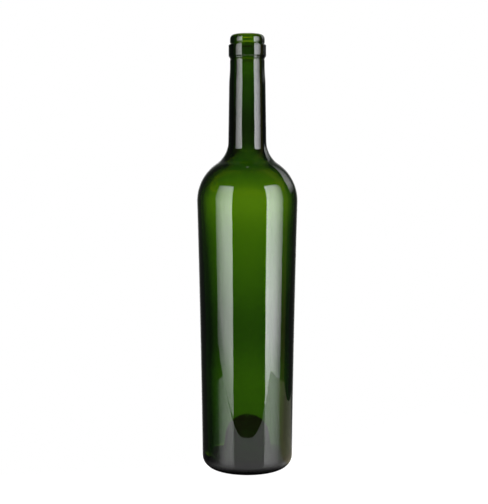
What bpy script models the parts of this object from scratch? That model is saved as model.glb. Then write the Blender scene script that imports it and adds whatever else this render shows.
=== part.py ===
# Empty 75 cl wine bottle in dark green glass: tapered body, high round shoulder,
# long neck with a banded cork finish, and a deep punt under the base.
# The whole bottle is one turned solid, open at the mouth.
# Units are metres, +Z is up, and the origin is the middle of the base.

import math

import bmesh
import bpy

MM = 0.001

# Body
BODY_RADIUS = 38.5 * MM  # widest, just under the shoulder
BASE_RADIUS = 34.75 * MM  # where the heel meets the side
WIDEST_HEIGHT = 206.3 * MM
SIDE_HOLLOW = 0.35 * MM  # how far the tapered side dips below a straight line
SHOULDER_RADIUS = 34.75 * MM
SHOULDER_HOLLOW_RADIUS = 20.2 * MM  # the curve that runs out into the neck

# Base
HEEL_WIDTH = 11.0 * MM
HEEL_HEIGHT = 9.9 * MM
RING_INNER_RADIUS = 21.0 * MM  # flat ring that the bottle stands on
RING_EDGE_RADIUS = 2.0 * MM
PUNT_DEPTH = 36.5 * MM
PUNT_TOP_RADIUS = 12.0 * MM

# Neck
NECK_BASE_RADIUS = 14.5 * MM
NECK_TOP_RADIUS = 13.85 * MM
NECK_TOP_HEIGHT = 294.0 * MM
WAIST_RADIUS = 13.15 * MM  # slightly drawn in under the band
WAIST_HEIGHT = 307.0 * MM

# Cork finish
TOTAL_HEIGHT = 332.0 * MM
BAND_RADIUS = 14.25 * MM
BAND_BOTTOM = 315.6 * MM
BAND_TOP = 323.4 * MM
BAND_FILLET = 1.9 * MM  # height of the hollow curve from the waist to the band
BAND_LEDGE = 0.65 * MM  # flat underside between that curve and the band's face
BAND_EDGE_RADIUS = 0.45 * MM
LIP_RADIUS = 13.2 * MM
LIP_FOOT = 325.5 * MM  # where the lip rises out of the band's rounded top
LIP_CROWN_WIDTH = 2.6 * MM
LIP_CROWN_HEIGHT = 3.3 * MM
MOUTH_EDGE_RADIUS = 1.1 * MM

# Bore and inner surface
MOUTH_RADIUS = 9.25 * MM
BORE_BASE_RADIUS = 9.5 * MM
WALL_BY_HEIGHT = (  # height above the base, thickness of the glass there
    (19 * MM, 4.0 * MM),
    (45 * MM, 3.7 * MM),
    (72 * MM, 3.5 * MM),
    (105 * MM, 4.0 * MM),
    (145 * MM, 3.5 * MM),
    (180 * MM, 2.9 * MM),
    (206 * MM, 2.4 * MM),
    (224 * MM, 2.6 * MM),
    (238 * MM, 3.5 * MM),
    (252 * MM, 5.0 * MM),
)
TROUGH_RADIUS = 6.0 * MM  # rounding between the inner wall and the push-up
TROUGH_FLOOR = 7.0 * MM
PUSH_UP_THICKNESS = 5.0 * MM

# Facets: round the axis, and along each stretch of the section
TURN_STEPS = 48
DOME_STEPS = 5
HEEL_STEPS = 7
SIDE_STEPS = 7
SHOULDER_STEPS = 10
NECK_CURVE_STEPS = 7
WAIST_STEPS = 4
CROWN_STEPS = 5
EDGE_STEPS = 3
MERGE_DISTANCE = 0.001 * MM

# Glass
GLASS_COLOUR = (0.045, 0.105, 0.006, 1.0)
GLASS_ROUGHNESS = 0.03
GLASS_IOR = 1.52
GLASS_TRANSMISSION = 0.85
SHARP_ANGLE = math.radians(40)


def arc(centre, radii, start, end, steps):
    """Points on an ellipse arc, both ends included; angles in degrees from +X."""
    points = []
    for step in range(steps + 1):
        angle = math.radians(start + (end - start) * step / steps)
        across = centre[0] + radii[0] * math.cos(angle)
        up = centre[1] + radii[1] * math.sin(angle)
        points.append((across, up))
    return points


def round_arc(centre, radius, start, end, steps):
    """Points on a circle's arc, both ends included."""
    return arc(centre, (radius, radius), start, end, steps)


def ease(part):
    """A share of the way that starts and ends gently."""
    return part * part * (3 - 2 * part)


def joined(*runs):
    """The runs as one line of points, without the repeats where two of them meet."""
    points = []
    for point in (point for run in runs for point in run):
        if not points or math.dist(point, points[-1]) > MERGE_DISTANCE:
            points.append(point)
    return points


def dome(top, top_radius, foot, foot_radius, foot_end):
    """From the axis over a dome, down its slope, and round the circle at its foot.

    The slope is the line that touches both circles and crosses between them.
    """
    centre = (0.0, top - top_radius)
    across = foot[0] - centre[0]
    up = foot[1] - centre[1]
    lean = math.acos((top_radius + foot_radius) / math.hypot(across, up))
    touch = math.degrees(math.atan2(up, across) + lean)
    return joined(
        [(0.0, top)],
        round_arc(centre, top_radius, 90, touch, DOME_STEPS),
        round_arc(foot, foot_radius, touch + 180, foot_end, DOME_STEPS),
    )


def tapered_side(bottom, top):
    """The side from the heel to the shoulder, a little hollow along its length."""
    points = []
    for step in range(SIDE_STEPS + 1):
        part = step / SIDE_STEPS
        dip = 4 * SIDE_HOLLOW * part * (1 - part)
        across = bottom[0] + (top[0] - bottom[0]) * part - dip
        points.append((across, bottom[1] + (top[1] - bottom[1]) * part))
    return points


def body_outside():
    """Heel, side, shoulder and the curve into the neck, from the base up."""
    heel = (BASE_RADIUS - HEEL_WIDTH, HEEL_HEIGHT)
    shoulder = (BODY_RADIUS - SHOULDER_RADIUS, WIDEST_HEIGHT)
    reach = SHOULDER_RADIUS + SHOULDER_HOLLOW_RADIUS
    across = NECK_BASE_RADIUS + SHOULDER_HOLLOW_RADIUS - shoulder[0]
    rise = math.sqrt(reach**2 - across**2)
    neck_curve = (shoulder[0] + across, shoulder[1] + rise)
    meet = math.degrees(math.atan2(rise, across))

    taper = math.atan2(BODY_RADIUS - BASE_RADIUS, WIDEST_HEIGHT - HEEL_HEIGHT)
    side_top = (
        shoulder[0] + SHOULDER_RADIUS * math.cos(taper),
        shoulder[1] - SHOULDER_RADIUS * math.sin(taper),
    )
    return joined(
        arc(heel, (HEEL_WIDTH, HEEL_HEIGHT), -90, 0, HEEL_STEPS),
        tapered_side((BASE_RADIUS, HEEL_HEIGHT), side_top),
        round_arc(shoulder, SHOULDER_RADIUS, -math.degrees(taper), meet, SHOULDER_STEPS),
        round_arc(neck_curve, SHOULDER_HOLLOW_RADIUS, 180 + meet, 180, NECK_CURVE_STEPS),
    )


def neck_outside():
    """The neck's straight top and the waist under the band."""
    points = []
    for step in range(WAIST_STEPS + 1):
        part = step / WAIST_STEPS
        across = NECK_TOP_RADIUS + (WAIST_RADIUS - NECK_TOP_RADIUS) * ease(part)
        points.append((across, NECK_TOP_HEIGHT + (WAIST_HEIGHT - NECK_TOP_HEIGHT) * part))
    return points


def cork_finish():
    """Band, lip and crown, from the waist to the top of the bore."""
    ledge = BAND_RADIUS - BAND_LEDGE
    hollow = (ledge, BAND_BOTTOM - BAND_FILLET)
    lower_edge = (BAND_RADIUS - BAND_EDGE_RADIUS, BAND_BOTTOM + BAND_EDGE_RADIUS)
    upper_edge = (LIP_RADIUS, BAND_TOP)
    crown = (LIP_RADIUS - LIP_CROWN_WIDTH, TOTAL_HEIGHT - LIP_CROWN_HEIGHT)
    mouth = (MOUTH_RADIUS + MOUTH_EDGE_RADIUS, TOTAL_HEIGHT - MOUTH_EDGE_RADIUS)
    return joined(
        arc(hollow, (ledge - WAIST_RADIUS, BAND_FILLET), 180, 90, EDGE_STEPS),
        round_arc(lower_edge, BAND_EDGE_RADIUS, -90, 0, EDGE_STEPS),
        arc(upper_edge, (BAND_RADIUS - LIP_RADIUS, LIP_FOOT - BAND_TOP), 0, 90, EDGE_STEPS),
        arc(crown, (LIP_CROWN_WIDTH, LIP_CROWN_HEIGHT), 0, 90, CROWN_STEPS),
        round_arc(mouth, MOUTH_EDGE_RADIUS, 90, 180, EDGE_STEPS),
    )


def wall_at(height):
    """Thickness of the glass at a height, eased between the stations."""
    for (low, below), (high, above) in zip(WALL_BY_HEIGHT, WALL_BY_HEIGHT[1:]):
        if height <= high:
            return below + (above - below) * ease((height - low) / (high - low))
    return WALL_BY_HEIGHT[-1][1]


def inner_wall(outside):
    """Inside of the shoulder and body, the outside set in by the wall, from the top down."""
    lowest = WALL_BY_HEIGHT[0][0]
    points = []
    for before, here, after in zip(outside, outside[1:], outside[2:]):
        if here[1] < lowest:
            continue
        run = (after[0] - before[0], after[1] - before[1])
        inward = wall_at(here[1]) / math.hypot(run[0], run[1])
        points.append((here[0] - inward * run[1], here[1] + inward * run[0]))
    points.reverse()
    return points


def half_section():
    """The glass from the punt's top, round the outside, down the bore, to the push-up's top."""
    ring_edge = (RING_INNER_RADIUS, RING_EDGE_RADIUS)
    punt = dome(PUNT_DEPTH, PUNT_TOP_RADIUS, ring_edge, RING_EDGE_RADIUS, 270)
    outside = body_outside()
    bore_base = (BORE_BASE_RADIUS, outside[-1][1])
    inside = inner_wall(outside)
    trough = (inside[-1][0] - TROUGH_RADIUS, TROUGH_FLOOR + TROUGH_RADIUS)
    push_up_radius = PUNT_TOP_RADIUS + PUSH_UP_THICKNESS
    push_up = dome(PUNT_DEPTH + PUSH_UP_THICKNESS, push_up_radius, trough, TROUGH_RADIUS, 360)
    push_up.reverse()
    return joined(punt, outside, neck_outside(), cork_finish(), [bore_base], inside, push_up)


def turned(points):
    """A closed mesh made by turning the half section about the Z axis."""
    shape = bmesh.new()
    corners = [shape.verts.new((across, 0.0, up)) for across, up in points]
    edges = [shape.edges.new(pair) for pair in zip(corners, corners[1:])]
    bmesh.ops.spin(
        shape,
        geom=corners + edges,
        axis=(0, 0, 1),
        cent=(0, 0, 0),
        angle=math.tau,
        steps=TURN_STEPS,
        use_merge=True,
    )
    bmesh.ops.remove_doubles(shape, verts=shape.verts, dist=MERGE_DISTANCE)
    bmesh.ops.recalc_face_normals(shape, faces=shape.faces)
    mesh = bpy.data.meshes.new("bottle")
    shape.to_mesh(mesh)
    shape.free()
    mesh.shade_smooth()
    mesh.set_sharp_from_angle(angle=SHARP_ANGLE)
    return mesh


def green_glass():
    """Dark green container glass."""
    material = bpy.data.materials.new("green container glass")
    material.use_nodes = True
    shader = material.node_tree.nodes["Principled BSDF"]
    shader.inputs["Base Color"].default_value = GLASS_COLOUR
    shader.inputs["Metallic"].default_value = 0.0
    shader.inputs["Roughness"].default_value = GLASS_ROUGHNESS
    shader.inputs["IOR"].default_value = GLASS_IOR
    shader.inputs["Transmission Weight"].default_value = GLASS_TRANSMISSION
    return material


for existing in list(bpy.data.objects):
    bpy.data.objects.remove(existing)

bottle_mesh = turned(half_section())
bottle_mesh.materials.append(green_glass())
bottle = bpy.data.objects.new("bottle", bottle_mesh)
bpy.context.scene.collection.objects.link(bottle)
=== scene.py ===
import math

import bmesh
import bpy
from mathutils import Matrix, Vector


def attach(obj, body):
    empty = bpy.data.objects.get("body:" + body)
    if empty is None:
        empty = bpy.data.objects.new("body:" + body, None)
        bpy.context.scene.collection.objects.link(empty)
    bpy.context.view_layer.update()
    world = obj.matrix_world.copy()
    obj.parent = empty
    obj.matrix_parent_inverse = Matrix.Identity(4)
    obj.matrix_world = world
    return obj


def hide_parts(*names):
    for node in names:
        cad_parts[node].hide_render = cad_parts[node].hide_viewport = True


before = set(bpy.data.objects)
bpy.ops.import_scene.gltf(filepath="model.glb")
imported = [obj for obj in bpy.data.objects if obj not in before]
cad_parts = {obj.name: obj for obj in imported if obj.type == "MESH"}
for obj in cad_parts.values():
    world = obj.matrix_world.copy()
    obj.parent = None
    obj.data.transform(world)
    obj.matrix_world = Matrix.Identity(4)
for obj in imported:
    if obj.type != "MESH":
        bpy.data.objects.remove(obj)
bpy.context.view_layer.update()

# An empty 75 cl wine bottle: one piece of dark green glass, turned round the Z axis by Geometry Nodes
# from a finely stepped half section, with mould seams and the slow ripple of blown glass.
# Metres, +Z up; the bottle's axis is the Z axis and the camera looks along +Y.

mm = 0.001
weldDistance = 0.002 * mm  # closes the turned sheet along its join and at its two ends


def toLinear(hexColour):
    channels = [int(hexColour[i:i + 2], 16) / 255 for i in (1, 3, 5)]
    linear = [c / 12.92 if c <= 0.04045 else ((c + 0.055) / 1.055) ** 2.4 for c in channels]
    return (*linear, 1.0)


def addNode(tree, kind, settings=None, inputs=None):  # an input is a value or another node's output
    node = tree.nodes.new(kind)
    for name, value in (settings or {}).items():
        if name == "stops":  # a ramp's places from 0 to 1, each with its linear colour
            while len(node.color_ramp.elements) < len(value):
                node.color_ramp.elements.new(1.0)
            for element, (place, colour) in zip(node.color_ramp.elements, value):
                element.position = place
                element.color = colour
        else:
            setattr(node, name, value)
    for socket, given in (inputs or {}).items():
        if isinstance(given, bpy.types.NodeSocket):
            tree.links.new(given, node.inputs[socket])
        else:
            node.inputs[socket].default_value = given
    return node


def newMaterial(name):
    material = bpy.data.materials.new(name)
    material.use_nodes = True
    material.node_tree.nodes.clear()
    return material, material.node_tree


bottleLook = {  # mm
    "bodyRadius": 38.4,  # widest, under the shoulder; the mould seam stands proud of it
    "baseRadius": 34.7,
    "widestHeight": 206.3,
    "sideHollow": 0.35,
    "shoulderRadius": 34.65,
    "shoulderHollowRadius": 20.2,
    "heelWidth": 11.0,
    "heelHeight": 9.9,
    "ringInnerRadius": 21.0,
    "ringEdgeRadius": 2.0,
    "puntDepth": 36.5,
    "puntTopRadius": 12.0,
    "neckBaseRadius": 14.45,
    "neckTopRadius": 13.8,
    "neckTopHeight": 294.0,
    "waistRadius": 13.15,
    "waistHeight": 307.0,
    "totalHeight": 332.0,
    "bandCorners": (  # radius, height, rounding: a crease, a thin bead, the band's edges, the lip's groove
        (13.2, 312.8, 0.2), (12.6, 313.35, 0.15), (13.3, 313.95, 0.2), (13.35, 314.7, 0.2),
        (14.25, 315.7, 0.3), (14.25, 324.0, 0.3), (12.7, 325.3, 0.25), (13.2, 326.05, 0.25),
    ),
    "lipRadius": 13.2,
    "crownWidth": 2.9,
    "crownHeight": 3.6,
    "mouthEdgeWidth": 1.0,
    "mouthEdgeHeight": 3.0,
    "mouthRadius": 9.25,
    "boreByHeight": (  # height, radius: the neck's wall is thickest low down
        (252, 8.7), (257, 8.5), (266, 8.3), (274, 8.58), (282, 8.95), (292, 9.12), (306, 9.1), (322, 9.2),
        (332, 9.25),
    ),
    "wallByHeight": (  # height, thickness
        (19, 4.0), (45, 3.7), (72, 3.62), (105, 4.25), (143, 3.5),
        (180, 2.95), (206, 2.38), (224, 2.95), (238, 3.78), (245, 4.65), (252, 5.75),
    ),
    "troughRadius": 6.0,
    "troughFloor": 7.0,
    "pushUpThickness": 5.0,
    "columns": 208,  # faces round the axis
    "seamCrowding": 0.3,  # how far the columns are drawn to the two mould seams, in radians
    "seamHeight": 0.08,
    "seamWidth": 0.5,
    "wallRipple": 0.32,  # at most, from crest to hollow; the inner wall was blown, not moulded
    "wallRippleSize": 26.0,
    "skinRipple": 0.04,
    "skinRippleSize": 34.0,
    "seed": 7,
    "wallRippleTop": 262.0,  # heights where the ripples and seams begin or end, and how softly
    "wallRippleFade": 30.0,
    "seamFoot": 4.0,
    "seamFootFade": 6.0,
    "seamTop": 311.0,
    "seamTopFade": 2.0,
    "skinRippleFoot": 3.0,
    "skinRippleFade": 20.0,
    "skinRippleTop": 300.0,
    "pointGap": 0.02,  # a point of the section nearer than this to the last one is dropped
}


def arcPoints(centre, radii, start, end, steps):  # both ends included, angles in degrees from +X
    points = []
    for step in range(steps + 1):
        angle = math.radians(start + (end - start) * step / steps)
        points.append((centre[0] + radii[0] * math.cos(angle), centre[1] + radii[1] * math.sin(angle)))
    return points


def ease(part):
    part = min(1.0, max(0.0, part))
    return part * part * (3 - 2 * part)


def domePoints(top, topRadius, foot, footRadius, footEnd, steps):
    # over a dome, down its slope and round its foot
    centre = (0.0, top - topRadius)
    across, up = foot[0] - centre[0], foot[1] - centre[1]
    lean = math.acos((topRadius + footRadius) / math.hypot(across, up))
    touch = math.degrees(math.atan2(up, across) + lean)
    cap = arcPoints(centre, (topRadius, topRadius), 90, touch, steps)
    toe = arcPoints(foot, (footRadius, footRadius), touch + 180, footEnd, steps)
    slope = []
    for i in range(1, 8):
        slope.append((
            cap[-1][0] + (toe[0][0] - cap[-1][0]) * i / 8,
            cap[-1][1] + (toe[0][1] - cap[-1][1]) * i / 8,
        ))
    return [(0.0, top)] + cap[1:] + slope + toe


def outsidePoints(look):  # heel, side, shoulder and the curve into the neck
    heel = (look["baseRadius"] - look["heelWidth"], look["heelHeight"])
    shoulder = (look["bodyRadius"] - look["shoulderRadius"], look["widestHeight"])
    across = look["neckBaseRadius"] + look["shoulderHollowRadius"] - shoulder[0]
    reach = look["shoulderRadius"] + look["shoulderHollowRadius"]
    rise = math.sqrt(reach ** 2 - across ** 2)
    meet = math.degrees(math.atan2(rise, across))
    taper = math.atan2(look["bodyRadius"] - look["baseRadius"], look["widestHeight"] - look["heelHeight"])
    sideTop = shoulder[0] + look["shoulderRadius"] * math.cos(taper)
    sideEnd = shoulder[1] - look["shoulderRadius"] * math.sin(taper)
    side = []
    for step in range(1, 60):
        part = step / 60
        dip = 4 * look["sideHollow"] * part * (1 - part)
        radius = look["baseRadius"] + (sideTop - look["baseRadius"]) * part - dip
        side.append((radius, look["heelHeight"] + (sideEnd - look["heelHeight"]) * part))
    bend = arcPoints(
        (shoulder[0] + across, shoulder[1] + rise), (look["shoulderHollowRadius"],) * 2,
        180 + meet, 180, 16,
    )
    return (
        arcPoints(heel, (look["heelWidth"], look["heelHeight"]), -90, 0, 18)
        + side
        + arcPoints(shoulder, (look["shoulderRadius"],) * 2, -math.degrees(taper), meet, 30)
        + bend[1:]
    )


def neckPoints(look):  # the long neck and the waist under the band
    radius, height = outsidePoints(look)[-1]
    points = []
    for i in range(1, 14):
        points.append((
            radius + (look["neckTopRadius"] - radius) * i / 14,
            height + (look["neckTopHeight"] - height) * i / 14,
        ))
    for i in range(9):
        points.append((
            look["neckTopRadius"] + (look["waistRadius"] - look["neckTopRadius"]) * ease(i / 8),
            look["neckTopHeight"] + (look["waistHeight"] - look["neckTopHeight"]) * i / 8,
        ))
    return points


def roundedPoints(corners, steps):  # each inner corner (radius, height, rounding) becomes a small arc
    support = 0.08  # mm; a point this far along each flat keeps the flat's shading flat
    points = []
    for before, here, after in zip(corners, corners[1:], corners[2:]):
        come = Vector((here[0] - before[0], here[1] - before[1])).normalized()
        leave = Vector((after[0] - here[0], after[1] - here[1])).normalized()
        turn = math.atan2(come.x * leave.y - come.y * leave.x, come.dot(leave))
        reach = here[2] * math.tan(abs(turn) / 2)
        start = Vector(here[:2]) - come * reach
        inward = Vector((-come.y, come.x)) * math.copysign(here[2], turn)
        points.append(tuple(start - come * support))
        for step in range(steps + 1):
            angle = turn * step / steps
            arm = Vector((
                -inward.x * math.cos(angle) + inward.y * math.sin(angle),
                -inward.x * math.sin(angle) - inward.y * math.cos(angle),
            ))
            points.append(tuple(start + inward + arm))
        points.append(tuple(Vector(here[:2]) + leave * (reach + support)))
    return points


def finishPoints(look):  # band, groove, lip and the rounded mouth
    crownFoot = look["totalHeight"] - look["crownHeight"]
    corners = ((look["waistRadius"], look["waistHeight"], 0.0),) + look["bandCorners"]
    band = roundedPoints(corners + ((look["lipRadius"], crownFoot, 0.0),), 6)
    lip = [(look["lipRadius"], band[-1][1] + (crownFoot - band[-1][1]) * i / 4) for i in range(1, 4)]
    crown = arcPoints((look["lipRadius"] - look["crownWidth"], crownFoot),
                      (look["crownWidth"], look["crownHeight"]), 0, 90, 14)
    mouth = arcPoints(
        (look["mouthRadius"] + look["mouthEdgeWidth"], look["totalHeight"] - look["mouthEdgeHeight"]),
        (look["mouthEdgeWidth"], look["mouthEdgeHeight"]), 90, 180, 8,
    )
    return band + lip + crown + mouth


def curveAt(stations, height):  # a smooth curve through the stations, with no flats that would show as bands
    last = len(stations) - 1
    if height >= stations[last][0]:
        return stations[last][1]
    i = max(k for k in range(last) if stations[k][0] <= max(height, stations[0][0]))
    slopes = []
    for k in (i, i + 1):
        before, after = stations[max(k - 1, 0)], stations[min(k + 1, last)]
        slopes.append((after[1] - before[1]) / (after[0] - before[0]))
    span = stations[i + 1][0] - stations[i][0]
    part = (height - stations[i][0]) / span
    return (
        stations[i][1] * (1 - ease(part)) + stations[i + 1][1] * ease(part)
        + span * part * (1 - part) * (slopes[0] * (1 - part) - slopes[1] * part)
    )


def insidePoints(look):  # the outside set in by the wall, from the foot of the neck down
    outside = outsidePoints(look)
    points = []
    for before, here, after in zip(outside, outside[1:], outside[2:]):
        run = (after[0] - before[0], after[1] - before[1])
        if here[1] >= look["wallByHeight"][0][0] and math.hypot(*run) >= 0.01:
            inward = curveAt(look["wallByHeight"], here[1]) / math.hypot(*run)
            points.append((here[0] - inward * run[1], here[1] + inward * run[0]))
    points.reverse()
    return points


def sectionRuns(look):  # the half section from the punt's middle, over the mouth, to the push-up's middle
    ringEdge = (look["ringInnerRadius"], look["ringEdgeRadius"])
    punt = domePoints(look["puntDepth"], look["puntTopRadius"], ringEdge, look["ringEdgeRadius"], 270, 12)
    inside = insidePoints(look)
    boreTop = look["totalHeight"] - look["mouthEdgeHeight"]
    boreFoot = outsidePoints(look)[-1][1]
    bore = []
    for i in range(1, 41):
        height = boreTop + (boreFoot - boreTop) * i / 40
        bore.append((curveAt(look["boreByHeight"], height), height))
    trough = (inside[-1][0] - look["troughRadius"], look["troughFloor"] + look["troughRadius"])
    pushUp = domePoints(
        look["puntDepth"] + look["pushUpThickness"], look["puntTopRadius"] + look["pushUpThickness"],
        trough, look["troughRadius"], 360, 12,
    )
    pushUp.reverse()
    return [
        ("punt", punt), ("outside", outsidePoints(look)), ("outside", neckPoints(look)),
        ("finish", finishPoints(look)), ("bore", bore), ("inside", inside), ("inside", pushUp),
    ]


def sectionObject(look):  # a line of points at y = 0; each knows how much ripple and seam it takes
    points = []
    shares = {"rippleShare": [], "seamShare": [], "skinShare": []}
    for kind, run in sectionRuns(look):
        for across, up in run:
            if points and math.dist((across, up), points[-1]) < look["pointGap"]:
                continue
            points.append((across, up))
            ripple = ease((look["wallRippleTop"] - up) / look["wallRippleFade"])
            seamStart = ease((up - look["seamFoot"]) / look["seamFootFade"])
            seamEnd = ease((look["seamTop"] - up) / look["seamTopFade"])
            skin = ease((up - look["skinRippleFoot"]) / look["skinRippleFade"])
            shares["rippleShare"].append(ripple if kind == "inside" else 0.0)
            shares["seamShare"].append(seamStart * seamEnd if kind == "outside" else 0.0)
            shares["skinShare"].append(skin if kind == "outside" and up < look["skinRippleTop"] else 0.0)
    mesh = bpy.data.meshes.new("bottleSection")
    edges = [(i, i + 1) for i in range(len(points) - 1)]
    mesh.from_pydata([(across * mm, 0.0, up * mm) for across, up in points], edges, [])
    for name, share in shares.items():
        mesh.attributes.new(name, "FLOAT", "POINT").data.foreach_set("value", share)
    section = bpy.data.objects.new("bottleGlass", mesh)
    bpy.context.scene.collection.objects.link(section)
    return section


def turnTree(material):  # Geometry Nodes: a sheet of columns by section points, rolled up round the axis
    tree = bpy.data.node_groups.new("turn the glass", "GeometryNodeTree")
    for name, kind in (
        ("Section", "NodeSocketGeometry"), ("Columns", "NodeSocketInt"),
        ("Seam crowding", "NodeSocketFloat"), ("Seam height", "NodeSocketFloat"),
        ("Seam width", "NodeSocketFloat"), ("Wall ripple", "NodeSocketFloat"),
        ("Wall ripple size", "NodeSocketFloat"), ("Skin ripple", "NodeSocketFloat"),
        ("Skin ripple size", "NodeSocketFloat"), ("Seed", "NodeSocketFloat"),
    ):
        tree.interface.new_socket(name, in_out="INPUT", socket_type=kind)
    tree.interface.new_socket("Glass", in_out="OUTPUT", socket_type="NodeSocketGeometry")
    given = addNode(tree, "NodeGroupInput").outputs

    # point number = column * rows + row
    size = addNode(tree, "GeometryNodeAttributeDomainSize", {}, {"Geometry": given["Section"]})
    rows = size.outputs["Point Count"]
    edges = addNode(tree, "FunctionNodeIntegerMath", {"operation": "ADD"}, {0: given["Columns"], 1: 1})
    sheet = addNode(tree, "GeometryNodeMeshGrid", {}, {"Vertices X": edges.outputs[0], "Vertices Y": rows})
    number = addNode(tree, "GeometryNodeInputIndex").outputs[0]
    column = addNode(tree, "FunctionNodeIntegerMath", {"operation": "DIVIDE_FLOOR"}, {0: number, 1: rows})
    row = addNode(tree, "FunctionNodeIntegerMath", {"operation": "FLOORED_MODULO"}, {0: number, 1: rows})

    # each point takes its place and its shares from the section
    carried = sheet.outputs["Mesh"]
    for name in ("rippleShare", "seamShare", "skinShare"):
        share = addNode(tree, "GeometryNodeInputNamedAttribute", {"data_type": "FLOAT"}, {"Name": name})
        sample = addNode(
            tree, "GeometryNodeSampleIndex", {"data_type": "FLOAT", "domain": "POINT"},
            {"Geometry": given["Section"], "Value": share.outputs["Attribute"], "Index": row.outputs[0]},
        )
        store = addNode(
            tree, "GeometryNodeStoreNamedAttribute", {"data_type": "FLOAT", "domain": "POINT"},
            {"Geometry": carried, "Name": name, "Value": sample.outputs["Value"]},
        )
        carried = store.outputs["Geometry"]
    position = addNode(tree, "GeometryNodeInputPosition").outputs[0]
    place = addNode(
        tree, "GeometryNodeSampleIndex", {"data_type": "FLOAT_VECTOR", "domain": "POINT"},
        {"Geometry": given["Section"], "Value": position, "Index": row.outputs[0]},
    )

    # even angles, drawn towards the seams at +X and -X
    even = addNode(tree, "ShaderNodeMapRange", {},
                   {"Value": column.outputs[0], "From Max": given["Columns"], "To Max": math.tau})
    double = addNode(tree, "ShaderNodeMath", {"operation": "MULTIPLY"}, {0: even.outputs[0], 1: 2.0})
    wave = addNode(tree, "ShaderNodeMath", {"operation": "SINE"}, {0: double.outputs[0]})
    lean = addNode(tree, "ShaderNodeMath", {"operation": "MULTIPLY"},
                   {0: wave.outputs[0], 1: given["Seam crowding"]})
    angle = addNode(tree, "ShaderNodeMath", {"operation": "SUBTRACT"},
                    {0: even.outputs[0], 1: lean.outputs[0]})
    turned = addNode(tree, "ShaderNodeVectorRotate", {"rotation_type": "Z_AXIS"},
                     {"Vector": place.outputs["Value"], "Angle": angle.outputs[0]})
    rolled = addNode(tree, "GeometryNodeSetPosition", {},
                     {"Geometry": carried, "Position": turned.outputs[0]})
    closed = addNode(tree, "GeometryNodeMergeByDistance", {},
                     {"Geometry": rolled.outputs[0], "Distance": weldDistance})

    # the mould seams stand up where y is near nought
    apart = addNode(tree, "ShaderNodeSeparateXYZ", {}, {0: position})
    away = addNode(tree, "ShaderNodeMath", {"operation": "ABSOLUTE"}, {0: apart.outputs["Y"]})
    ridge = addNode(
        tree, "ShaderNodeMapRange", {"interpolation_type": "SMOOTHSTEP"},
        {"Value": away.outputs[0], "From Max": given["Seam width"],
         "To Min": given["Seam height"], "To Max": 0.0},
    )
    share = addNode(tree, "GeometryNodeInputNamedAttribute", {"data_type": "FLOAT"}, {"Name": "seamShare"})
    lift = addNode(tree, "ShaderNodeMath", {"operation": "MULTIPLY"},
                   {0: ridge.outputs[0], 1: share.outputs["Attribute"]}).outputs[0]

    # the ripples are drawn out along the axis; the skin's own pattern is shifted from the wall's
    squeezed = addNode(tree, "ShaderNodeVectorMath", {"operation": "MULTIPLY"},
                       {0: position, 1: (1.0, 1.0, 0.55)})
    for name, shareName, shift in (("Wall ripple", "rippleShare", 0.0), ("Skin ripple", "skinShare", 31.7)):
        fine = addNode(tree, "ShaderNodeMath", {"operation": "DIVIDE"}, {0: 1.0, 1: given[name + " size"]})
        seed = addNode(tree, "ShaderNodeMath", {"operation": "ADD"}, {0: given["Seed"], 1: shift})
        noise = addNode(
            tree, "ShaderNodeTexNoise", {"noise_dimensions": "4D"},
            {"Vector": squeezed.outputs[0], "W": seed.outputs[0], "Scale": fine.outputs[0], "Detail": 1.0,
             "Roughness": 0.35},
        )
        centred = addNode(tree, "ShaderNodeMath", {"operation": "SUBTRACT"}, {0: noise.outputs[0], 1: 0.5})
        tall = addNode(tree, "ShaderNodeMath", {"operation": "MULTIPLY"},
                       {0: centred.outputs[0], 1: given[name]})
        share = addNode(tree, "GeometryNodeInputNamedAttribute", {"data_type": "FLOAT"}, {"Name": shareName})
        lift = addNode(tree, "ShaderNodeMath", {"operation": "MULTIPLY_ADD"},
                       {0: tall.outputs[0], 1: share.outputs["Attribute"], 2: lift}).outputs[0]
    normal = addNode(tree, "GeometryNodeInputNormal").outputs[0]
    push = addNode(tree, "ShaderNodeVectorMath", {"operation": "SCALE"}, {0: normal, "Scale": lift})
    shaped = addNode(tree, "GeometryNodeSetPosition", {},
                     {"Geometry": closed.outputs[0], "Offset": push.outputs[0]})
    smooth = addNode(tree, "GeometryNodeSetShadeSmooth", {}, {"Geometry": shaped.outputs[0]})
    real = addNode(tree, "GeometryNodeRealizeInstances", {}, {"Geometry": smooth.outputs[0]})
    glazed = addNode(tree, "GeometryNodeSetMaterial", {}, {"Geometry": real.outputs[0], "Material": material})
    addNode(tree, "NodeGroupOutput", {}, {"Glass": glazed.outputs[0]})
    return tree


glassLook = {
    "ior": 1.52,
    "roughness": 0.012,
    "absorbRed": 550.0,  # per metre of glass
    "absorbGreen": 362.0,
    "absorbBlue": 1350.0,
    "chillSize": 3.5,  # mm across, the chill marks of the iron mould
    "chillHeight": 0.004,
    "dragLength": 40.0,  # mm, where the glass slid down the mould
    "dragWidth": 2.2,
    "dragHeight": 0.003,
}


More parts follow.
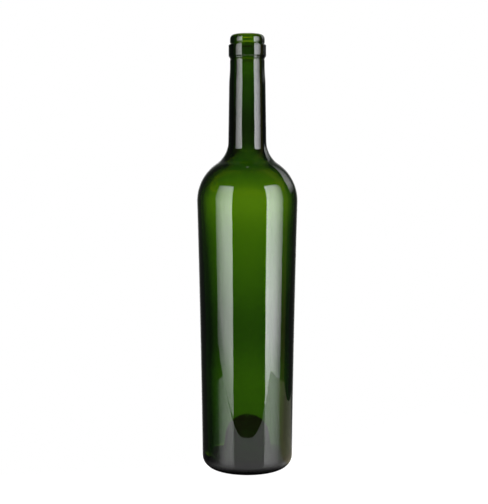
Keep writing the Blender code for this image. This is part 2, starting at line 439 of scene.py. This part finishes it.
def bottleGlassMaterial(look):
    # mould-blown soda-lime container glass, made green by iron and chrome: very smooth, deep in
    # colour where the wall is thick, with faint chill marks that soften the edges of reflections
    material, tree = newMaterial("mould-blown soda-lime container glass")
    where = addNode(tree, "ShaderNodeTexCoord").outputs["Object"]
    chill = addNode(
        tree, "ShaderNodeTexNoise", {},
        {"Vector": where, "Scale": 1 / (look["chillSize"] * mm), "Detail": 2.0, "Roughness": 0.45},
    )
    across, along = 1 / (look["dragWidth"] * mm), 1 / (look["dragLength"] * mm)
    drawn = addNode(tree, "ShaderNodeMapping", {}, {"Vector": where, "Scale": (across, across, along)})
    drag = addNode(tree, "ShaderNodeTexNoise", {}, {"Vector": drawn.outputs[0], "Scale": 1.0, "Detail": 1.0})
    chillBump = addNode(tree, "ShaderNodeBump", {},
                        {"Height": chill.outputs[0], "Distance": look["chillHeight"] * mm})
    dragBump = addNode(
        tree, "ShaderNodeBump", {},
        {"Height": drag.outputs[0], "Distance": look["dragHeight"] * mm, "Normal": chillBump.outputs[0]},
    )
    shader = addNode(
        tree, "ShaderNodeBsdfPrincipled", {},
        {"Base Color": (1.0, 1.0, 1.0, 1.0), "Metallic": 0.0, "Roughness": look["roughness"],
         "IOR": look["ior"], "Transmission Weight": 1.0, "Normal": dragBump.outputs[0]},
    )
    dense = look["absorbBlue"]
    tint = (1 - look["absorbRed"] / dense, 1 - look["absorbGreen"] / dense, 0.0, 1.0)
    body = addNode(tree, "ShaderNodeVolumeAbsorption", {}, {"Color": tint, "Density": dense})
    addNode(tree, "ShaderNodeOutputMaterial", {}, {"Surface": shader.outputs[0], "Volume": body.outputs[0]})
    return material


print("bottle")
bottleGlass = sectionObject(bottleLook)
turning = bottleGlass.modifiers.new("turn", "NODES")
turning.node_group = turnTree(bottleGlassMaterial(glassLook))
turnInputs = {
    "Columns": bottleLook["columns"],
    "Seam crowding": bottleLook["seamCrowding"],
    "Seam height": bottleLook["seamHeight"] * mm,
    "Seam width": bottleLook["seamWidth"] * mm,
    "Wall ripple": bottleLook["wallRipple"] * mm,
    "Wall ripple size": bottleLook["wallRippleSize"] * mm,
    "Skin ripple": bottleLook["skinRipple"] * mm,
    "Skin ripple size": bottleLook["skinRippleSize"] * mm,
    "Seed": float(bottleLook["seed"]),
}
for item in turning.node_group.interface.items_tree:
    if item.in_out == "INPUT" and item.name in turnInputs:
        turning[item.identifier] = turnInputs[item.name]
bpy.context.view_layer.update()
turnedGlass = bottleGlass.evaluated_get(bpy.context.evaluated_depsgraph_get())
glassMesh = bpy.data.meshes.new_from_object(turnedGlass)
bottleGlass.modifiers.remove(turning)
bottleGlass.data = glassMesh
shell = bmesh.new()
shell.from_mesh(glassMesh)
if shell.calc_volume(signed=True) < 0:  # faces point out of the glass
    bmesh.ops.reverse_faces(shell, faces=shell.faces)
print("bottle: %d faces, %.1f ml of glass" % (len(shell.faces), shell.calc_volume(signed=True) * 1e6))
shell.to_mesh(glassMesh)
shell.free()
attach(bottleGlass, "root")
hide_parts("bottle")


cameraLook = {
    "distance": 825.0,  # mm from the axis
    "aside": -2.53,
    "height": 221.0,
    "pitch": 3.74,  # degrees down
    "lens": 76.94,  # mm, for a 36 mm sensor across the taller side
}
print("camera")
cameraData = bpy.data.cameras.new("camera")
cameraData.lens = cameraLook["lens"]
cameraData.sensor_fit = "AUTO"
cameraData.sensor_width = 36.0
cameraData.clip_start = 0.01
cameraData.clip_end = 50.0
camera = bpy.data.objects.new("camera", cameraData)
camera.location = (cameraLook["aside"] * mm, -cameraLook["distance"] * mm, cameraLook["height"] * mm)
camera.rotation_euler = (math.radians(90 - cameraLook["pitch"]), 0.0, 0.0)
bpy.context.scene.collection.objects.link(camera)
bpy.context.scene.camera = camera


# Bearings below are degrees round the bottle: those of the table and the soft boxes start at the
# camera's side, those of the room start straight behind the bottle, and right is plus in both.

floorLook = {
    "glow": 1.05,  # the table is burnt out to plain white
    "outline": (  # metres, the small table that the lower glass mirrors
        (-0.36, -0.065), (-0.352, -0.193), (-0.279, -0.2), (-0.156, -0.19), (-0.102, -0.166),
        (-0.039, -0.149), (0.037, -0.149), (0.088, -0.163), (0.126, -0.176), (0.162, -0.195),
        (0.269, -0.223), (0.342, -0.232), (0.372, -0.181), (0.372, -0.006), (0.356, 0.065),
        (0.311, 0.08), (0.25, 0.108), (0.208, 0.175), (0.2, 0.24), (0.06, 0.06), (-0.045, 0.05),
        (-0.045, 0.0),
    ),
    "below": 0.02,  # mm under the standing ring
    "base": "#303030",
    "ior": 1.49,
    "roughness": 0.16,
    "roughnessSpread": 0.02,
    "grain": 900.0,  # patches of the gloss to a metre
    "shadow": (31.0, 44.0),  # mm from the axis; a painted shadow, where the glow fades to nothing under the glass, as no light comes up from under it
    "paintedLightAndShade": (  # painted light and shade by bearing: white in front, dark painted shade on the left, dimmer behind on the right, and a warm painted patch at the far right
        (-180, "#303030"), (-85, "#303030"), (-70, "#6C6C6C"), (-56, "#B4B4B4"), (-40, "#F9F9F9"),
        (40, "#FFFFFF"), (72, "#EDEDE8"), (84, "#CCC29A"), (104, "#A8A284"), (120, "#98957E"),
        (140, "#808078"),
    ),
}


def makeFloor(look):
    # polished opal acrylic: to the eye an even white with no shadow, as the white is its own glow, and a soft
    # gloss;
    # in the glass its glow carries painted light and shade by bearing, and a painted shadow under the bottle
    material, tree = newMaterial("polished opal acrylic")
    where = addNode(tree, "ShaderNodeTexCoord").outputs["Object"]
    grain = addNode(tree, "ShaderNodeTexNoise", {}, {"Vector": where, "Scale": look["grain"], "Detail": 2.0})
    rough = addNode(
        tree, "ShaderNodeMapRange", {},
        {"Value": grain.outputs[0], "To Min": look["roughness"] - look["roughnessSpread"],
         "To Max": look["roughness"] + look["roughnessSpread"]},
    )
    toward = addNode(tree, "ShaderNodeVectorMath", {"operation": "MULTIPLY"},
                     {0: where, 1: (1.0, -1.0, 0.0)})
    apart = addNode(tree, "ShaderNodeSeparateXYZ", {}, {0: toward.outputs[0]})
    bearing = addNode(tree, "ShaderNodeMath", {"operation": "ARCTAN2"},
                      {0: apart.outputs["X"], 1: apart.outputs["Y"]})
    around = addNode(tree, "ShaderNodeMapRange", {},
                     {"Value": bearing.outputs[0], "From Min": -math.pi, "From Max": math.pi})
    # painted light and shade round the table, by bearing, in its glow
    stops = [((degrees + 180) / 360, toLinear(colour)) for degrees, colour in look["paintedLightAndShade"]]
    level = addNode(tree, "ShaderNodeValToRGB", {"stops": stops}, {"Fac": around.outputs[0]})
    radius = addNode(tree, "ShaderNodeVectorMath", {"operation": "LENGTH"}, {0: toward.outputs[0]})
    # painted shadow: the glow fades out under the glass
    lit = addNode(
        tree, "ShaderNodeMapRange", {"interpolation_type": "SMOOTHSTEP"},
        {"Value": radius.outputs["Value"], "From Min": look["shadow"][0] * mm,
         "From Max": look["shadow"][1] * mm},
    )
    paintedGlow = addNode(tree, "ShaderNodeVectorMath", {"operation": "SCALE"},
                     {0: level.outputs[0], "Scale": lit.outputs[0]})
    # the camera sees plain white; other rays see the painted glow
    path = addNode(tree, "ShaderNodeLightPath").outputs
    glow = addNode(tree, "ShaderNodeMix", {"data_type": "VECTOR"},
                   {"Factor": path["Is Camera Ray"], 4: paintedGlow.outputs[0], 5: (look["glow"],) * 3})
    shader = addNode(
        tree, "ShaderNodeBsdfPrincipled", {},
        {"Base Color": toLinear(look["base"]), "IOR": look["ior"], "Roughness": rough.outputs[0],
         "Emission Color": glow.outputs[1], "Emission Strength": 1.0},
    )
    addNode(tree, "ShaderNodeOutputMaterial", {}, {"Surface": shader.outputs[0]})
    mesh = bpy.data.meshes.new("tableTop")
    corners = [(x, y, -look["below"] * mm) for x, y in look["outline"]]
    mesh.from_pydata(corners, [], [tuple(range(len(corners)))])
    mesh.materials.append(material)
    table = bpy.data.objects.new("tableTop", mesh)
    bpy.context.scene.collection.objects.link(table)


print("floor")
makeFloor(floorLook)


softboxLook = {
    "softboxLeft": {
        "bearing": -45.0,
        "away": 0.8,  # metres from the axis
        "inner": (11.0, -0.15, 0.754),  # degrees from its bearing to that edge, then the edge's foot and top
        "outer": (30.5, -0.06, 0.754),
        "seenThrough": True,  # the glass shows it in the wall behind too, and doesn't only mirror it
        "colour": "#FFFFFF",
        "glow": 8.1,
        "fade": (  # how bright, from the inner edge to the outer
            (0.0, 1.0), (0.16, 0.96), (0.39, 0.84), (0.52, 0.75), (0.64, 0.62), (0.77, 0.48), (1.0, 0.2),
        ),
        "rise": (  # and from the foot to the top, with dimmer rims
            (0.0, 0.38), (0.045, 0.46), (0.1, 0.72), (0.14, 0.72), (0.2, 0.82), (0.28, 0.96),
            (0.35, 1.0), (0.5, 0.84), (0.955, 0.84), (0.965, 0.73),
        ),
    },
    "softboxRight": {
        "bearing": 53.0,
        "away": 0.8,
        "inner": (9.5, -0.13, 0.754),
        "outer": (35.0, -0.12, 0.754),
        "seenThrough": True,
        "colour": "#FBFAFD",
        "glow": 14.4,
        "fade": (
            (0.0, 0.86), (0.06, 0.82), (0.2, 0.7), (0.33, 0.68), (0.53, 0.54), (0.71, 0.36), (1.0, 0.13),
        ),
        "rise": (
            (0.0, 0.5), (0.03, 0.6), (0.06, 0.75), (0.11, 0.95), (0.19, 1.0), (0.26, 0.9),
            (0.335, 0.9), (0.5, 0.8), (0.955, 0.8), (0.965, 0.7),
        ),
    },
    "reflectorRight": {  # a white board along the right side, behind the bottle, with a sloping top
        "bearing": 88.0,
        "away": 2.0,
        "inner": (-29.0, 0.5, 1.44),
        "outer": (62.0, 0.7, 4.4),
        "seenThrough": False,
        "colour": "#FFFFFF",
        "glow": 1.9,
        "fade": ((0.0, 1.0), (0.35, 0.6), (0.7, 0.3), (1.0, 0.05)),
        "rise": ((0.0, 0.0), (0.3, 0.5), (0.55, 1.0)),
    },
}
facesPassed = 2.5  # a ray that has passed more glass faces than this no longer sees the boxes


def makeSoftbox(name, look):
    # white nylon stretched over a tall frame: an even sheet of light that falls off towards its outer edge
    bearing = math.radians(look["bearing"])
    side = math.copysign(1.0, bearing)
    toward = Vector((math.sin(bearing), -math.cos(bearing), 0.0)) * look["away"]
    along = Vector((math.cos(bearing), math.sin(bearing), 0.0)) * side * look["away"]
    inner = toward - along * math.tan(math.radians(look["inner"][0]))
    outer = toward + along * math.tan(math.radians(look["outer"][0]))
    corners = [(inner.x, inner.y, look["inner"][1]), (outer.x, outer.y, look["outer"][1]),
               (outer.x, outer.y, look["outer"][2]), (inner.x, inner.y, look["inner"][2])]
    mesh = bpy.data.meshes.new(name)
    mesh.from_pydata(corners, [], [(0, 1, 2, 3) if side < 0 else (3, 2, 1, 0)])
    sheet = mesh.uv_layers.new(name="UVMap")
    for loop in mesh.loops:
        sheet.data[loop.index].uv = ((0.0, 0.0), (1.0, 0.0), (1.0, 1.0), (0.0, 1.0))[loop.vertex_index]
    material, tree = newMaterial("white nylon diffuser")
    where = addNode(tree, "ShaderNodeTexCoord").outputs["UV"]
    place = addNode(tree, "ShaderNodeSeparateXYZ", {}, {0: where}).outputs
    stops = [(across, (level, level, level, 1.0)) for across, level in look["fade"]]
    fade = addNode(tree, "ShaderNodeValToRGB", {"stops": stops}, {"Fac": place["X"]})
    stops = [(up, (level, level, level, 1.0)) for up, level in look["rise"]]
    rim = addNode(tree, "ShaderNodeValToRGB", {"stops": stops}, {"Fac": place["Y"]})
    level = addNode(tree, "ShaderNodeMath", {"operation": "MULTIPLY"},
                    {0: fade.outputs[0], 1: rim.outputs[0]})
    # it lights one side only, and isn't seen straight through the whole bottle from behind
    rear = addNode(tree, "ShaderNodeNewGeometry").outputs["Backfacing"]
    front = addNode(tree, "ShaderNodeMath", {"operation": "SUBTRACT"}, {0: 1.0, 1: rear})
    deep = addNode(tree, "ShaderNodeLightPath").outputs["Transmission Depth"]
    near = addNode(tree, "ShaderNodeMath", {"operation": "LESS_THAN"}, {0: deep, 1: facesPassed})
    seen = addNode(tree, "ShaderNodeMath", {"operation": "MULTIPLY"},
                   {0: front.outputs[0], 1: near.outputs[0]})
    strength = addNode(tree, "ShaderNodeMath", {"operation": "MULTIPLY"},
                       {0: level.outputs[0], 1: look["glow"]})
    shine = addNode(tree, "ShaderNodeEmission", {},
                    {"Color": toLinear(look["colour"]), "Strength": strength.outputs[0]})
    clear = addNode(tree, "ShaderNodeBsdfTransparent")
    both = addNode(tree, "ShaderNodeMixShader", {},
                   {0: seen.outputs[0], 1: clear.outputs[0], 2: shine.outputs[0]})
    addNode(tree, "ShaderNodeOutputMaterial", {}, {"Surface": both.outputs[0]})
    mesh.materials.append(material)
    box = bpy.data.objects.new(name, mesh)
    box.visible_camera = False
    box.visible_transmission = look["seenThrough"]
    bpy.context.scene.collection.objects.link(box)


print("lights")
for name, look in softboxLook.items():
    makeSoftbox(name, look)


roomLook = {
    # seen through the glass: a white sheet straight behind, dim past it, pale at the sides and in front
    "through": (
        (-180, 0.85), (-60, 0.85), (-46, 0.08), (-14, 0.08), (-4, 1.0), (5, 1.0), (19, 0.08),
        (46, 0.08), (60, 0.85), (180, 0.85),
    ),
    # degrees up; what comes from low down is warm and lights the lip, which bends the view downwards
    "lowGlow": ((-90, 1.0), (-23, 1.0), (-18, 0.0), (90, 0.0)),
    "lowColour": "#FFA578",
    "lowStrength": 8.0,
    # mirrored by the glass: the bright sheet behind, and a dark room with a dim warm front
    "mirrored": ((-180, "#5C5640"), (-110, "#5C5640"), (-80, "#373737"), (-34, "#373737"), (-18, "#7C7C7C"),
                 (-11, "#FFFFFF"), (11, "#FFFFFF"), (18, "#7C7C7C"), (34, "#373737"), (73, "#373737"),
                 (77, "#807A4A"), (92, "#807A4A"), (98, "#464436"), (110, "#5C5640"), (180, "#5C5640")),
}


def makeRoom(look):
    world = bpy.data.worlds.new("studio")
    bpy.context.scene.world = world
    world.use_nodes = True
    tree = world.node_tree
    tree.nodes.clear()
    direction = addNode(tree, "ShaderNodeTexCoord").outputs["Generated"]
    apart = addNode(tree, "ShaderNodeSeparateXYZ", {}, {0: direction}).outputs
    bearing = addNode(tree, "ShaderNodeMath", {"operation": "ARCTAN2"}, {0: apart["X"], 1: apart["Y"]})
    around = addNode(tree, "ShaderNodeMapRange", {},
                     {"Value": bearing.outputs[0], "From Min": -math.pi, "From Max": math.pi})
    rise = addNode(tree, "ShaderNodeMapRange", {}, {"Value": apart["Z"], "From Min": -1.0})
    ramps = {}
    for name in ("through", "mirrored"):
        stops = []
        for degrees, level in look[name]:
            colour = toLinear(level) if isinstance(level, str) else (level, level, level, 1.0)
            stops.append(((degrees + 180) / 360, colour))
        ramp = addNode(tree, "ShaderNodeValToRGB", {"stops": stops}, {"Fac": around.outputs[0]})
        ramps[name] = ramp.outputs[0]
    stops = []
    for degrees, level in look["lowGlow"]:
        stops.append(((1 + math.sin(math.radians(degrees))) / 2, (level, level, level, 1.0)))
    low = addNode(tree, "ShaderNodeValToRGB", {"stops": stops}, {"Fac": rise.outputs[0]})
    warmth = [channel * look["lowStrength"] for channel in toLinear(look["lowColour"])[:3]]
    through = addNode(tree, "ShaderNodeVectorMath", {"operation": "MULTIPLY_ADD"},
                      {0: low.outputs[0], 1: warmth, 2: ramps["through"]})
    path = addNode(tree, "ShaderNodeLightPath").outputs
    # a ray that went through glass counts as glossy too, so it is told apart last
    first = addNode(tree, "ShaderNodeMix", {"data_type": "VECTOR"},
                    {"Factor": path["Is Glossy Ray"], 4: (1.0, 1.0, 1.0), 5: ramps["mirrored"]})
    second = addNode(tree, "ShaderNodeMix", {"data_type": "VECTOR"},
                     {"Factor": path["Is Transmission Ray"], 4: first.outputs[1], 5: through.outputs[0]})
    sky = addNode(tree, "ShaderNodeBackground", {}, {"Color": second.outputs[1], "Strength": 1.0})
    addNode(tree, "ShaderNodeOutputWorld", {}, {"Surface": sky.outputs[0]})


print("room")
makeRoom(roomLook)

scene = bpy.context.scene
scene.view_settings.view_transform = "Standard"
scene.view_settings.look = "None"
scene.cycles.max_bounces = 24
scene.cycles.transmission_bounces = 24
scene.cycles.glossy_bounces = 12
